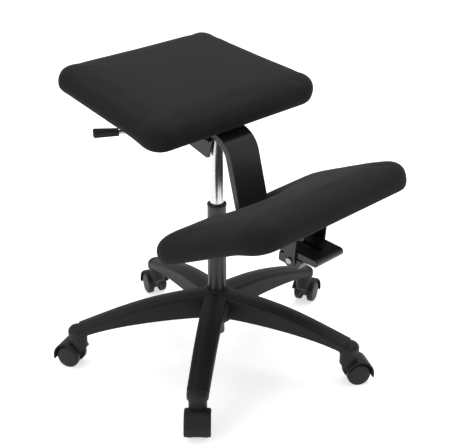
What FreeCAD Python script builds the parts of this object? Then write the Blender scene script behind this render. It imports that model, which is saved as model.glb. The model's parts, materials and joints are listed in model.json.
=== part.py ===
"""Height-adjustable kneeling chair on a five-leg caster base, as an assembly of separate pieces.

Frame: millimetres, Z up, origin on the floor under the column axis.  The sitter faces -Y and
the sitter's left hand is at +X.
"""
import FreeCAD, Part
import math
import os

import Sketcher

Vector = FreeCAD.Vector
Rotation = FreeCAD.Rotation
Placement = FreeCAD.Placement

os.makedirs("parts", exist_ok=True)
doc = FreeCAD.newDocument("KneelingChair")


class Size:
    """A number that remembers how it was worked out from the sheet of sizes."""

    def __init__(self, value, text):
        self.value = float(value)
        self.text = text

    def join(self, other, sign, value):
        other_text = other.text if isinstance(other, Size) else repr(float(other))
        return Size(value, "(" + self.text + " " + sign + " " + other_text + ")")

    def __add__(self, other):
        return self.join(other, "+", self.value + number(other))

    def __sub__(self, other):
        return self.join(other, "-", self.value - number(other))

    def __mul__(self, other):
        return self.join(other, "*", self.value * number(other))

    def __truediv__(self, other):
        return self.join(other, "/", self.value / number(other))

    def __neg__(self):
        return Size(-self.value, "(0 - " + self.text + ")")


def number(size):
    """Plain value of a size or of a number."""
    return size.value if isinstance(size, Size) else float(size)


# Driving sizes in millimetres and degrees.
SIZES = {
    # five-leg base
    "leg_yaw": 0.6,
    "caster_circle": 290.0,
    "tip_height": 70.0,
    "tip_radius": 21.0,
    "hub_bottom": 81.0,
    "hub_top": 150.0,
    "hub_radius": 36.0,
    "cone_small": 18.3,
    "tube_radius": 19.3,
    "tube_bore": 16.5,
    "tube_top": 337.0,
    "tube_foot": 47.0,
    "foot_radius": 15.5,
    # gas column
    "chrome_radius": 14.0,
    "chrome_bottom": 175.0,
    "cone_length": 28.0,
    "cone_top_radius": 13.3,
    "rod_radius": 5.0,
    "piston_low": 200.0,
    "running": 0.06,
    "pin_radius": 3.5,
    # casters
    "wheel_radius": 24.0,
    "wheel_trail": 18.0,
    "wheel_inner": 9.5,
    "wheel_width": 14.0,
    "hood_radius": 31.0,
    "hood_half": 25.5,
    "web_half": 7.0,
    "neck_radius": 17.5,
    "neck_top": 69.4,
    "stem_radius": 5.5,
    "stem_top": 88.0,
    "axle_radius": 3.0,
    "axle_half": 22.0,
    # curved arm
    "arm_half": 40.0,
    "arm_thick": 16.0,
    "arm_flat": 507.0,
    "arm_drop": 118.8,
    "slot_width": 9.0,
    # frame under the seat
    "plate_thick": 4.0,
    "sheet": 3.0,
    "cheek_gap": 21.0,
    "bracket_gap": 41.0,
    # seat
    "seat_depth": 320.0,
    "seat_front": 460.0,
    "seat_rear": 410.0,
    "seat_tilt": 10.0,
    "seat_middle": 83.0,
    "seat_rise": 63.0,
    "seat_half": 23.0,
    # knee pad
    "knee_depth": 280.0,
    "knee_front": 440.0,
    "knee_rear": 490.0,
    "knee_tilt": 23.4,
    "knee_back": 46.0,
    "knee_rise": 56.64,
    "knee_half": 25.0,
    "board_thick": 10.0,
    "pivot_ahead": 79.4,
    "pivot_drop": 6.3,
    "slide_gap": 0.15,
    "pivot_radius": 4.0,
    # lever
    "lever_rise": 7.5,
    "lever_radius": 4.0,
}

sheet = doc.addObject("Spreadsheet::Sheet", "Sizes")
for row, (alias, value) in enumerate(SIZES.items(), start=1):
    sheet.set("A%d" % row, alias)
    sheet.set("B%d" % row, str(value))
    sheet.setAlias("B%d" % row, alias)
doc.recompute()


def size(alias):
    """Driving size by name, bound to the sheet wherever it is used."""
    return Size(SIZES[alias], "Sizes." + alias)


def origin_plane(body, role):
    """Origin plane or axis of a body by its role."""
    for feature in body.Origin.OriginFeatures:
        if feature.Role == role:
            return feature
    raise ValueError(role)


def new_body(label, placement=None):
    """Empty body with its label and its place in the chair."""
    body = doc.addObject("PartDesign::Body", label)
    body.Label = label
    if placement is not None:
        body.Placement = placement
    return body


def new_sketch(body, name, role="XY_Plane", offset=None):
    """Sketch on one origin plane of its body, moved along its normal by offset."""
    sketch = body.newObject("Sketcher::SketchObject", body.Name + name)
    sketch.AttachmentSupport = [(origin_plane(body, role), "")]
    sketch.MapMode = "FlatFace"
    if offset is not None:
        sketch.AttachmentOffset = Placement(Vector(0, 0, number(offset)), Rotation())
        if isinstance(offset, Size):
            sketch.setExpression("AttachmentOffset.Base.z", offset.text)
    return sketch


def pin_point(sketch, index, position, point):
    """Tie one point of the sketch to its two coordinates."""
    for kind, coordinate in zip(("DistanceX", "DistanceY"), point):
        row = sketch.addConstraint(
            Sketcher.Constraint(kind, -1, 1, index, position, number(coordinate))
        )
        if isinstance(coordinate, Size):
            sketch.setExpression("Constraints[%d]" % row, coordinate.text)


def draw_polygon(sketch, points):
    """Closed outline of straight lines through sized points."""
    count = len(points)
    flat = [Vector(number(x), number(y), 0) for x, y in points]
    first = None
    for i in range(count):
        line = Part.LineSegment(flat[i], flat[(i + 1) % count])
        index = sketch.addGeometry(line, False)
        first = index if first is None else first
    for i in range(count):
        after = first + (i + 1) % count
        sketch.addConstraint(Sketcher.Constraint("Coincident", first + i, 2, after, 1))
    for i in range(count):
        pin_point(sketch, first + i, 1, points[i])


def draw_circle(sketch, centre, radius):
    """Circle with a sized centre and radius."""
    middle = Vector(number(centre[0]), number(centre[1]), 0)
    circle = Part.Circle(middle, Vector(0, 0, 1), number(radius))
    index = sketch.addGeometry(circle, False)
    row = sketch.addConstraint(Sketcher.Constraint("Radius", index, number(radius)))
    if isinstance(radius, Size):
        sketch.setExpression("Constraints[%d]" % row, radius.text)
    pin_point(sketch, index, 3, centre)


def draw_path(sketch, steps):
    """Outline of lines and three-point arcs, given as end points and middle points.

    Each step is (end,) for a line or (middle, end) for an arc; it starts at the last end.
    """
    here = steps[0][-1]
    start = here
    for step in steps[1:]:
        end = step[-1]
        if len(step) == 1:
            curve = Part.LineSegment(Vector(*here, 0), Vector(*end, 0))
        else:
            curve = Part.Arc(Vector(*here, 0), Vector(*step[0], 0), Vector(*end, 0))
        sketch.addGeometry(curve, False)
        here = end
    if math.dist(here, start) > 1e-6:
        sketch.addGeometry(Part.LineSegment(Vector(*here, 0), Vector(*start, 0)), False)


def bind(feature, prop, value):
    """Set a property, tied to the sheet when the value is a size."""
    setattr(feature, prop, number(value))
    if isinstance(value, Size):
        feature.setExpression(prop, value.text)


def revolve(body, points, name="Turn"):
    """Turned solid about the body's Z axis from an outline of radius and height."""
    sketch = new_sketch(body, name + "Outline", "XZ_Plane")
    draw_polygon(sketch, points)
    feature = body.newObject("PartDesign::Revolution", body.Name + name)
    feature.Profile = sketch
    feature.ReferenceAxis = (sketch, ["V_Axis"])
    feature.Angle = 360.0
    doc.recompute()
    return feature


def groove(body, points, name="Bore"):
    """Turned cut about the body's Z axis."""
    sketch = new_sketch(body, name + "Outline", "XZ_Plane")
    draw_polygon(sketch, points)
    feature = body.newObject("PartDesign::Groove", body.Name + name)
    feature.Profile = sketch
    feature.ReferenceAxis = (sketch, ["V_Axis"])
    feature.Angle = 360.0
    doc.recompute()
    return feature


def pad(body, sketch, length, name="Pad", middle=False):
    """Pad of a sketch, either away from its plane or evenly to both sides of it."""
    feature = body.newObject("PartDesign::Pad", body.Name + name)
    feature.Profile = sketch
    bind(feature, "Length", length)
    feature.Midplane = middle
    doc.recompute()
    return feature


def pocket(body, sketch, length, name="Pocket", middle=False, reverse=False):
    """Cut of a sketch; the solid must lose volume."""
    before = body.Shape.Volume
    feature = body.newObject("PartDesign::Pocket", body.Name + name)
    feature.Profile = sketch
    bind(feature, "Length", length)
    feature.Midplane = middle
    feature.Reversed = reverse
    doc.recompute()
    if not body.Shape.Volume < before - 1e-3:
        raise RuntimeError("no material cut by " + feature.Name)
    return feature


def dress(body, kind, radius, chooser, name):
    """Fillet or chamfer on the edges of the last solid that the chooser accepts."""
    tip = body.Tip
    names = []
    for i, edge in enumerate(tip.Shape.Edges, start=1):
        if chooser(edge):
            names.append("Edge%d" % i)
    if not names:
        raise RuntimeError("no edges for " + name)
    feature = body.newObject("PartDesign::" + kind, body.Name + name)
    feature.Base = (tip, names)
    bind(feature, "Radius" if kind == "Fillet" else "Size", radius)
    doc.recompute()
    return feature


def box_body(label, low, high, placement=None):
    """Rectangular block between two corners, as a pad along Z."""
    body = new_body(label, placement)
    sketch = new_sketch(body, "Outline", "XY_Plane", low[2])
    draw_polygon(
        sketch, [(low[0], low[1]), (high[0], low[1]), (high[0], high[1]), (low[0], high[1])]
    )
    rise = high[2] - low[2]
    pad(body, sketch, rise)
    return body


def turned_body(label, points, placement=None):
    """Body made of one turned solid."""
    body = new_body(label, placement)
    revolve(body, points)
    return body


def about_z(degrees, base):
    """Placement turned about the vertical."""
    return Placement(base, Rotation(Vector(0, 0, 1), degrees))


def grouped(label, name, template, places):
    """One node holding several equal separate pieces, each a link-free copy of a turned solid."""
    feature = doc.addObject("Part::Feature", label)
    feature.Label = label
    solids = []
    for place in places:
        copy = template.copy()
        copy.Placement = place.multiply(copy.Placement)
        solids.append(copy)
    feature.Shape = Part.makeCompound(solids)
    return feature


exports = []


def keep(*objects):
    """Add finished pieces to the list of files."""
    exports.extend(objects)


# ---- base: star, ring, outer tube and what sits in its foot
star = new_body("star_base", about_z(number(size("leg_yaw")), Vector(0, 0, 0)))
star.setExpression("Placement.Rotation.Angle", "Sizes.leg_yaw")
hub_top = size("hub_top")
hub_bottom = size("hub_bottom")
hub_radius = size("hub_radius")
revolve(
    star,
    [
        (0, hub_bottom),
        (hub_radius - 6, hub_bottom),
        (hub_radius - 3, hub_bottom + 6),
        (hub_radius + 2, hub_top - 22),
        (hub_radius - 3, hub_top - 8),
        (hub_radius - 8, hub_top - 2.5),
        (hub_radius - 12, hub_top),
        (0, hub_top),
    ],
    "Hub",
)

# Leg sections: distance from the axis, crown, shoulder, rim, underside, width, web width.
LEG_SECTIONS = [
    (20.0, 148.5, 138.0, 131.0, 89.0, 48.5, 30.0),
    (95.0, 142.0, 132.0, 124.5, 92.0, 47.5, 32.0),
    (170.0, 128.5, 119.5, 110.5, 90.5, 45.5, 36.0),
    (235.0, 110.5, 102.0, 92.0, 85.0, 43.5, 40.5),
    (287.0, 94.0, 86.0, 75.5, 74.0, 42.0, 41.0),
]


def leg_section(body, index, row):
    """Rounded, rimmed leg section on a plane across the leg."""
    radius, crown, shoulder, rim, under, width, web = row
    sketch = new_sketch(body, "Section%d" % index, "YZ_Plane", radius)
    half = width / 2
    inner = web / 2
    corner = half - 9.0
    low = shoulder + 0.62 * (crown - shoulder)
    steps = [
        ((-inner, under),),
        ((inner, under),),
        ((inner, rim),),
        ((half, rim),),
        ((half, shoulder),),
        ((half - 1.6, shoulder + 0.40 * (crown - shoulder)), (corner, low + 1.0)),
        ((0.0, crown), (-corner, low + 1.0)),
        ((-half + 1.6, shoulder + 0.40 * (crown - shoulder)), (-half, shoulder)),
        ((-half, rim),),
        ((-inner, rim),),
    ]
    draw_path(sketch, steps)
    return sketch


sections = [leg_section(star, i, row) for i, row in enumerate(LEG_SECTIONS)]
leg = star.newObject("PartDesign::AdditiveLoft", "star_baseLeg")
leg.Profile = sections[0]
leg.Sections = sections[1:]
leg.Ruled = False
doc.recompute()

tip_height = size("tip_height")
tip_radius = size("tip_radius")
tip_sketch = new_sketch(star, "TipOutline", "XZ_Plane")
circle_radius = number(size("caster_circle"))
low = number(tip_height)
wide = number(tip_radius)
draw_path(
    tip_sketch,
    [
        ((circle_radius, low),),
        ((circle_radius + wide - 2.5, low),),
        ((circle_radius + wide - 0.7, low + 0.7), (circle_radius + wide, low + 2.5)),
        ((circle_radius + wide, low + 11.0),),
        ((circle_radius + wide - 3.2, low + 17.0), (circle_radius + wide - 10.0, low + 20.8)),
        ((circle_radius + 5.5, low + 22.6), (circle_radius, low + 23.0)),
    ],
)
tip = star.newObject("PartDesign::Revolution", "star_baseTip")
tip.Profile = tip_sketch
tip_line = tip_sketch.addGeometry(
    Part.LineSegment(Vector(circle_radius, low, 0), Vector(circle_radius, low + 30, 0)), True
)
tip.ReferenceAxis = (tip_sketch, ["Axis0"])
tip.Angle = 360.0
doc.recompute()

stem_radius = size("stem_radius")
stem_sketch = new_sketch(star, "SocketOutline", "XY_Plane", tip_height)
draw_circle(stem_sketch, (size("caster_circle"), 0), stem_radius + 0.05)
socket_cut = star.newObject("PartDesign::Pocket", "star_baseSocket")
socket_cut.Profile = stem_sketch
socket_cut.Reversed = True
bind(socket_cut, "Length", size("stem_top") - tip_height + 0.5)
doc.recompute()

pattern = star.newObject("PartDesign::PolarPattern", "star_baseFive")
pattern.Originals = [leg, tip, socket_cut]
pattern.Axis = (origin_plane(star, "Z_Axis"), [""])
pattern.Angle = 360.0
pattern.Occurrences = 5
star.Tip = pattern
doc.recompute()

cone_small = size("cone_small")
tube_radius = size("tube_radius")
groove(
    star,
    [
        (0, hub_bottom - 2),
        (cone_small, hub_bottom - 2),
        (cone_small, hub_bottom),
        (tube_radius, hub_top),
        (tube_radius, hub_top + 2),
        (0, hub_top + 2),
    ],
    "Cone",
)

ring = turned_body(
    "hub_ring",
    [
        (tube_radius, hub_top),
        (tube_radius + 4.2, hub_top),
        (tube_radius + 4.2, hub_top + 1.6),
        (tube_radius + 3.2, hub_top + 2.6),
        (tube_radius, hub_top + 2.6),
    ],
)

tube_bore = size("tube_bore")
tube_top = size("tube_top")
tube_foot = size("tube_foot")
foot_radius = size("foot_radius")
rod_radius = size("rod_radius")
running = size("running")
outer_tube = turned_body(
    "outer_tube",
    [
        (rod_radius + 0.2, tube_foot),
        (foot_radius - 1, tube_foot),
        (foot_radius, tube_foot + 1),
        (foot_radius, tube_foot + 20),
        (cone_small, tube_foot + 24),
        (cone_small, hub_bottom),
        (tube_radius, hub_top),
        (tube_radius, tube_top),
        (tube_bore, tube_top),
        (tube_bore, tube_foot + 22),
        (foot_radius - 3.5, tube_foot + 22),
        (foot_radius - 3.5, tube_foot + 6),
        (rod_radius + 0.2, tube_foot + 6),
    ],
)

chrome_radius = size("chrome_radius")
guide_bush = turned_body(
    "guide_bush",
    [
        (chrome_radius + running, tube_top - 72),
        (tube_bore, tube_top - 72),
        (tube_bore, tube_top),
        (tube_radius + 0.5, tube_top),
        (tube_radius + 0.5, tube_top + 3),
        (tube_radius - 0.6, tube_top + 4.2),
        (chrome_radius + running, tube_top + 4.2),
    ],
)

thrust_bearing = turned_body(
    "thrust_bearing",
    [
        (rod_radius + 0.3, tube_foot + 6),
        (foot_radius - 4.5, tube_foot + 6),
        (foot_radius - 4.5, tube_foot + 10),
        (rod_radius + 0.3, tube_foot + 10),
    ],
)
bearing_washer = turned_body(
    "bearing_washer",
    [
        (rod_radius + 0.3, tube_foot + 10),
        (foot_radius - 4.5, tube_foot + 10),
        (foot_radius - 4.5, tube_foot + 11.2),
        (rod_radius + 0.3, tube_foot + 11.2),
    ],
)
foot_washer = turned_body(
    "foot_washer",
    [
        (rod_radius + 0.2, tube_foot - 1.2),
        (foot_radius - 4.5, tube_foot - 1.2),
        (foot_radius - 4.5, tube_foot),
        (rod_radius + 0.2, tube_foot),
    ],
)
retaining_clip = turned_body(
    "retaining_clip",
    [
        (rod_radius - 1, tube_foot - 2.4),
        (rod_radius + 4, tube_foot - 2.4),
        (rod_radius + 4, tube_foot - 1.2),
        (rod_radius - 1, tube_foot - 1.2),
    ],
)
keep(star, ring, outer_tube, guide_bush, thrust_bearing, bearing_washer, foot_washer, retaining_clip)

# ---- gas column: rod and piston turn in the foot, the chrome cylinder rides up and down on them
piston_low = size("piston_low")
piston_rod = turned_body(
    "piston_rod",
    [
        (0, tube_foot - 4.5),
        (rod_radius - 0.8, tube_foot - 4.5),
        (rod_radius, tube_foot - 3.7),
        (rod_radius, tube_foot - 2.4),
        (rod_radius - 1, tube_foot - 2.4),
        (rod_radius - 1, tube_foot - 1.2),
        (rod_radius, tube_foot - 1.2),
        (rod_radius, tube_foot + 11.2),
        (rod_radius + 4, tube_foot + 11.2),
        (rod_radius + 4, tube_foot + 15),
        (rod_radius, tube_foot + 15),
        (rod_radius, piston_low),
        (chrome_radius - 2 - running, piston_low),
        (chrome_radius - 2 - running, piston_low + 12),
        (0, piston_low + 12),
    ],
)
chrome_bottom = size("chrome_bottom")
chrome_top = size("arm_flat")
cone_start = chrome_top - size("cone_length")
cone_top_radius = size("cone_top_radius")
pin_radius = size("pin_radius")
gas_cylinder = turned_body(
    "gas_cylinder",
    [
        (rod_radius + running, chrome_bottom),
        (chrome_radius - 1.5, chrome_bottom),
        (chrome_radius, chrome_bottom + 1.5),
        (chrome_radius, cone_start),
        (cone_top_radius, chrome_top),
        (pin_radius + running, chrome_top),
        (pin_radius + running, chrome_top - 12),
        (chrome_radius - 2, chrome_top - 12),
        (chrome_radius - 2, chrome_bottom + 8),
        (rod_radius + running, chrome_bottom + 8),
    ],
)
lever_height = chrome_top + size("lever_rise")
pin_top = lever_height - size("lever_radius")
release_pin = turned_body(
    "release_pin",
    [
        (0, chrome_top - 17),
        (pin_radius, chrome_top - 17),
        (pin_radius, pin_top - 1),
        (pin_radius - 1, pin_top),
        (0, pin_top),
    ],
)
keep(piston_rod, gas_cylinder, release_pin)

# ---- casters: each on its own stem under a leg tip, turned as the photograph shows it
wheel_radius = size("wheel_radius")
wheel_trail = size("wheel_trail")
wheel_inner = size("wheel_inner")
wheel_width = size("wheel_width")
hood_radius = size("hood_radius")
hood_half = size("hood_half")
web_half = size("web_half")
neck_radius = size("neck_radius")
neck_top = size("neck_top")
axle_radius = size("axle_radius")
axle_half = size("axle_half")
stem_top = size("stem_top")

# Heading of each caster: the wheels trail from the stem toward this direction.
CASTERS = {
    "right_rear": (2, 112.0),
    "right_front": (3, 223.0),
    "front": (4, 327.0),
    "left": (0, 18.0),
    "rear": (1, 68.0),
}


def caster_hood(label, place):
    """Neck, fender and middle web moulded in one, with bores for stem and axle."""
    body = new_body(label, place)
    neck = new_sketch(body, "Neck", "XY_Plane", 12.0)
    draw_circle(neck, (0, 0), neck_radius)
    pad(body, neck, neck_top - 12.0, "NeckPad")
    drum = new_sketch(body, "Drum", "XZ_Plane")
    draw_circle(drum, (wheel_trail, wheel_radius), hood_radius)
    pad(body, drum, hood_half * 2, "DrumPad", middle=True)
    side_face = number(hood_half)
    dress(
        body,
        "Fillet",
        4.0,
        lambda edge: abs(abs(edge.BoundBox.YMin) - side_face) < 0.01 and edge.BoundBox.YLength < 0.01,
        "SideRound",
    )
    outside = new_sketch(body, "Outside", "XZ_Plane")
    far = 90.0
    draw_polygon(
        outside,
        [
            (-far, -far), (far, -far), (far, wheel_radius - 7), (wheel_trail + 14, wheel_radius - 7),
            (wheel_trail + 11, wheel_radius - 11), (wheel_trail - 9, wheel_radius - 11),
            (-neck_radius - 1, wheel_radius + 22), (-neck_radius - 1, far), (-far, far),
        ],
    )
    pocket(body, outside, hood_half * 4, "Trim", middle=True)
    for side, name in ((1, "Left"), (-1, "Right")):
        start = web_half if side > 0 else -web_half
        well = new_sketch(body, name + "Well", "XZ_Plane", start * -1)
        draw_circle(well, (wheel_trail, wheel_radius), hood_radius - 3.0)
        pocket(body, well, hood_half * 2, name + "WellCut", reverse=side < 0)
    axle_hole = new_sketch(body, "AxleHole", "XZ_Plane")
    draw_circle(axle_hole, (wheel_trail, wheel_radius), axle_radius)
    pocket(body, axle_hole, web_half * 4, "AxleCut", middle=True)
    stem_hole = new_sketch(body, "StemHole", "XY_Plane", neck_top)
    draw_circle(stem_hole, (0, 0), stem_radius + running)
    pocket(body, stem_hole, 22.0, "StemCut")
    return body


def caster_wheel(label, place, side):
    """Wheel with a crowned outer face, turned about the axle."""
    start = wheel_inner
    end = wheel_inner + wheel_width
    outline = [
        (axle_radius + running, web_half + 0.4),
        (8, web_half + 0.4),
        (8, start + 2),
        (wheel_radius - 4, start + 2),
        (wheel_radius - 4, start),
        (wheel_radius - 0.8, start),
        (wheel_radius, start + 0.8),
        (wheel_radius, end - 5),
        (wheel_radius - 1, end - 3.2),
        (wheel_radius - 3, end - 1.6),
        (wheel_radius - 8, end - 0.5),
        (6, end),
        (0, end),
        (0, axle_half + 0.3),
        (axle_radius + running, axle_half + 0.3),
    ]
    turn = Rotation(Vector(1, 0, 0), -90.0 if side > 0 else 90.0)
    local = Placement(Vector(number(wheel_trail), 0, number(wheel_radius)), turn)
    return turned_body(label, outline, place.multiply(local))


def caster(name, leg_index, heading):
    """All pieces of one caster."""
    angle = math.radians(number(size("leg_yaw")) + 72.0 * leg_index)
    centre = Vector(
        number(size("caster_circle")) * math.cos(angle),
        number(size("caster_circle")) * math.sin(angle),
        0,
    )
    place = about_z(heading, centre)
    stem = turned_body(
        name + "_caster_stem",
        [
            (0, neck_top - 21),
            (stem_radius - 0.6, neck_top - 21),
            (stem_radius, neck_top - 20),
            (stem_radius, stem_top - 6),
            (stem_radius - 0.9, stem_top - 6),
            (stem_radius - 0.9, stem_top - 4),
            (stem_radius, stem_top - 4),
            (stem_radius, stem_top - 1),
            (stem_radius - 1, stem_top),
            (0, stem_top),
        ],
        about_z(0, centre),
    )
    hood = caster_hood(name + "_caster_hood", place)
    turn = Placement(
        Vector(number(wheel_trail), 0, number(wheel_radius)), Rotation(Vector(1, 0, 0), -90.0)
    )
    axle = turned_body(
        name + "_caster_axle",
        [
            (0, -axle_half),
            (axle_radius, -axle_half),
            (axle_radius, axle_half),
            (0, axle_half),
        ],
        place.multiply(turn),
    )
    wheel_a = caster_wheel(name + "_caster_wheel_a", place, 1)
    wheel_b = caster_wheel(name + "_caster_wheel_b", place, -1)
    keep(stem, hood, axle, wheel_a, wheel_b)


for caster_name, (leg_number, heading) in CASTERS.items():
    caster(caster_name, leg_number, heading)

# ---- frame under the seat: lower channel round the column, wedge bracket above it
plate_thick = size("plate_thick")
sheet_thick = size("sheet")
cheek_gap = size("cheek_gap")
bracket_gap = size("bracket_gap")
arm_half = size("arm_half")
arm_thick = size("arm_thick")
arm_flat = size("arm_flat")
arm_under = arm_flat - arm_thick
plate_low = arm_under - plate_thick

channel = new_body("column_channel")
channel_top = new_sketch(channel, "Top", "XY_Plane", plate_low)
draw_polygon(
    channel_top,
    [
        (-bracket_gap - 8, -24), (bracket_gap + 8, -24),
        (bracket_gap + 8, 108), (-bracket_gap - 8, 108),
    ],
)
draw_circle(channel_top, (0, 0), chrome_radius + 4)
for side in (-1, 1):
    for depth in (42, 88):
        draw_circle(channel_top, (side * 33, depth), 4.25)
pad(channel, channel_top, plate_thick, "TopPad")
for side, name in ((-1, "Right"), (1, "Left")):
    start = cheek_gap if side > 0 else -cheek_gap - sheet_thick
    cheek = new_sketch(channel, name + "Cheek", "YZ_Plane", start)
    draw_polygon(
        cheek,
        [
            (-13, plate_low), (-1.5, plate_low - 43), (5, plate_low - 45),
            (98, plate_low - 13), (98, plate_low),
        ],
    )
    pad(channel, cheek, sheet_thick, name + "CheekPad")
# The front lip of the plate slants away from the bar, which starts its bend there.
lead = new_sketch(channel, "Lead", "YZ_Plane")
draw_polygon(
    lead,
    [(-30, arm_under + 2), (-18.3, arm_under + 2), (-18.3, arm_under), (-30, arm_under - 1.4)],
)
pocket(channel, lead, 160.0, "LeadCut", middle=True)

taper_socket = turned_body(
    "taper_socket",
    [
        (chrome_radius, cone_start),
        (chrome_radius + 3, cone_start),
        (chrome_radius + 4, cone_start + 1),
        (chrome_radius + 4, chrome_top),
        (cone_top_radius, chrome_top),
    ],
)

seat_level = number(arm_flat + size("seat_rise"))
seat_place = Placement(
    Vector(0, number(size("seat_middle")), seat_level),
    Rotation(Vector(1, 0, 0), number(size("seat_tilt"))),
)
seat_half = size("seat_half")
wedge = new_body("wedge_bracket", seat_place)
wedge_top = new_sketch(wedge, "Top", "XY_Plane", -seat_half - sheet_thick)
draw_polygon(wedge_top, [(-90, -114), (90, -114), (90, 52), (-90, 52)])
for side in (-1, 1):
    for depth in (-98, 34):
        draw_circle(wedge_top, (side * 76, depth), 3.3)
pad(wedge, wedge_top, sheet_thick, "TopPad")


def to_seat(y, z):
    """Chair height and depth turned into the tilted frame of the seat."""
    tilt = math.radians(number(size("seat_tilt")))
    dy = y - number(size("seat_middle"))
    dz = z - seat_level
    return (dy * math.cos(tilt) + dz * math.sin(tilt), -dy * math.sin(tilt) + dz * math.cos(tilt))


top_line = number(-seat_half - sheet_thick)
low_front = to_seat(-20.0, number(arm_under))
low_rear = to_seat(104.0, number(arm_under))
for side, name in ((-1, "Right"), (1, "Left")):
    start = bracket_gap if side > 0 else -bracket_gap - sheet_thick
    cheek = new_sketch(wedge, name + "Cheek", "YZ_Plane", start)
    draw_polygon(
        cheek,
        [
            low_front, low_rear,
            (low_rear[0] - 10, top_line + 1.5), (low_front[0] - 1, top_line + 1.5),
        ],
    )
    pad(wedge, cheek, sheet_thick, name + "CheekPad")
window = new_sketch(wedge, "Window", "YZ_Plane", -bracket_gap - sheet_thick - 2)
window_low = number(arm_flat) + 0.3
window_high = number(lever_height) + 10.0
draw_polygon(
    window,
    [
        to_seat(9, window_low), to_seat(33, window_low),
        to_seat(33, window_high), to_seat(9, window_high),
    ],
)
pocket(wedge, window, 8.0, "WindowCut", reverse=True)

keep(channel, taper_socket, wedge)

# ---- arm: one flat bar bent down in front of the column and forward under the knee pad
FRONT_LINE = math.radians(76.0)
LOWER_LINE = math.radians(6.0)


def arm_outline(grow):
    """Side outline of the bent arm as path steps, thickened by grow on both faces.

    The outer face is traced down from the seat, then forward to the rounded nose, and the
    inner face back up again.
    """
    thick = number(arm_thick)
    top = number(arm_flat)
    upper = (-18.8, top - 60.0)
    r_out = 60.0 + grow
    r_in = 60.0 - thick - grow

    def upper_arc(radius, angle):
        return (
            upper[0] - radius * math.sin(angle),
            upper[1] + radius * math.cos(angle),
        )

    drop = number(size("arm_drop"))
    bend = (-118.98 - drop / math.tan(FRONT_LINE), top - drop)
    inner = 51.0 - grow
    outer = 51.0 + thick + grow

    def lower_arc(radius, angle):
        return (
            bend[0] + radius * math.sin(angle),
            bend[1] - radius * math.cos(angle),
        )

    nose_mid = lower_arc(51.0 + thick / 2, LOWER_LINE)
    reach = bend[0] - number(size("pivot_ahead")) - 53.5 - nose_mid[0]
    nose = (nose_mid[0] + reach, nose_mid[1] + reach * math.tan(LOWER_LINE))
    half = thick / 2 + grow
    up = (-math.sin(LOWER_LINE), math.cos(LOWER_LINE))
    ahead = (-math.cos(LOWER_LINE), -math.sin(LOWER_LINE))
    nose_top = (nose[0] + up[0] * half, nose[1] + up[1] * half)
    nose_low = (nose[0] - up[0] * half, nose[1] - up[1] * half)
    nose_tip = (nose[0] + ahead[0] * half, nose[1] + ahead[1] * half)
    middle = (FRONT_LINE + LOWER_LINE) / 2
    rear = 104.0
    return [
        ((rear, top + grow),),
        ((upper[0], top + grow),),
        (upper_arc(r_out, FRONT_LINE / 2), upper_arc(r_out, FRONT_LINE)),
        (lower_arc(inner, FRONT_LINE),),
        (lower_arc(inner, middle), lower_arc(inner, LOWER_LINE)),
        (nose_top,),
        (nose_tip, nose_low),
        (lower_arc(outer, LOWER_LINE),),
        (lower_arc(outer, middle), lower_arc(outer, FRONT_LINE)),
        (upper_arc(r_in, FRONT_LINE),),
        (upper_arc(r_in, FRONT_LINE / 2), (upper[0], top - thick - grow)),
        ((rear, top - thick - grow),),
    ]


def pivot_spot_back():
    """Depth of the knee pad's pivot, ahead of the lower bend of the bar."""
    drop = number(size("arm_drop"))
    return -118.98 - drop / math.tan(FRONT_LINE) - number(size("pivot_ahead"))


def arm_middle(y):
    """Height of the middle of the bar at a place on its straight lower run."""
    start = arm_outline(0.0)[4][-1]
    end = arm_outline(0.0)[7][-1]
    middle = ((start[0] + end[0]) / 2, (start[1] + end[1]) / 2)
    return middle[1] + (y - middle[0]) * math.tan(LOWER_LINE)


arm = new_body("curved_arm")
arm_sketch = new_sketch(arm, "Side", "YZ_Plane")
draw_path(arm_sketch, arm_outline(0.0))
pad(arm, arm_sketch, arm_half * 2, "Pad", middle=True)
arm_holes = new_sketch(arm, "Holes", "XY_Plane", arm_under - 1)
draw_circle(arm_holes, (0, 0), chrome_radius + 4.2)
for side in (-1, 1):
    for depth in (42, 88):
        draw_circle(arm_holes, (side * 33, depth), 4.25)
pocket(arm, arm_holes, arm_thick + 2, "HolesCut", reverse=True)
slot_rear = pivot_spot_back() + 36.0
slot_front = slot_rear - 70.0
slot = new_sketch(arm, "Slot", "XY_Plane", arm_middle(slot_front) - 28.0)
slot_half = number(size("slot_width")) / 2
draw_path(
    slot,
    [
        ((slot_half, slot_rear),),
        ((0.0, slot_rear + slot_half), (-slot_half, slot_rear)),
        ((-slot_half, slot_front),),
        ((0.0, slot_front - slot_half), (slot_half, slot_front)),
    ],
)
pocket(arm, slot, 56.0, "SlotCut", reverse=True)


def long_side(edge):
    """Outer corner edges of the bar that run along its length."""
    box = edge.BoundBox
    flat_side = abs(abs(box.XMin) - number(arm_half)) < 0.01 and box.XLength < 0.01
    return flat_side


dress(arm, "Fillet", 3.0, long_side, "Round")
keep(arm)

# ---- fasteners of the arm and the seat


def bolt_shape(shank, length, head, thick):
    """Plain bolt along -Z with its head above zero."""
    body = Part.makeCylinder(shank, length, Vector(0, 0, -length))
    top = Part.makeCylinder(head, thick, Vector(0, 0, 0))
    top = top.makeChamfer(thick * 0.2, [e for e in top.Edges if e.BoundBox.ZMin > thick * 0.9])
    socket = Part.makeCylinder(shank * 0.5, thick * 0.6, Vector(0, 0, thick * 0.4))
    return body.fuse(top).removeSplitter().cut(socket)


def nut_shape(bore, across, thick):
    """Hexagon nut from zero down."""
    reach = across / math.sqrt(3)
    corners = [
        Vector(reach * math.cos(math.radians(60 * i)), reach * math.sin(math.radians(60 * i)), -thick)
        for i in range(7)
    ]
    prism = Part.Face(Part.makePolygon(corners)).extrude(Vector(0, 0, thick))
    return prism.cut(Part.makeCylinder(bore, thick, Vector(0, 0, -thick)))


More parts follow.
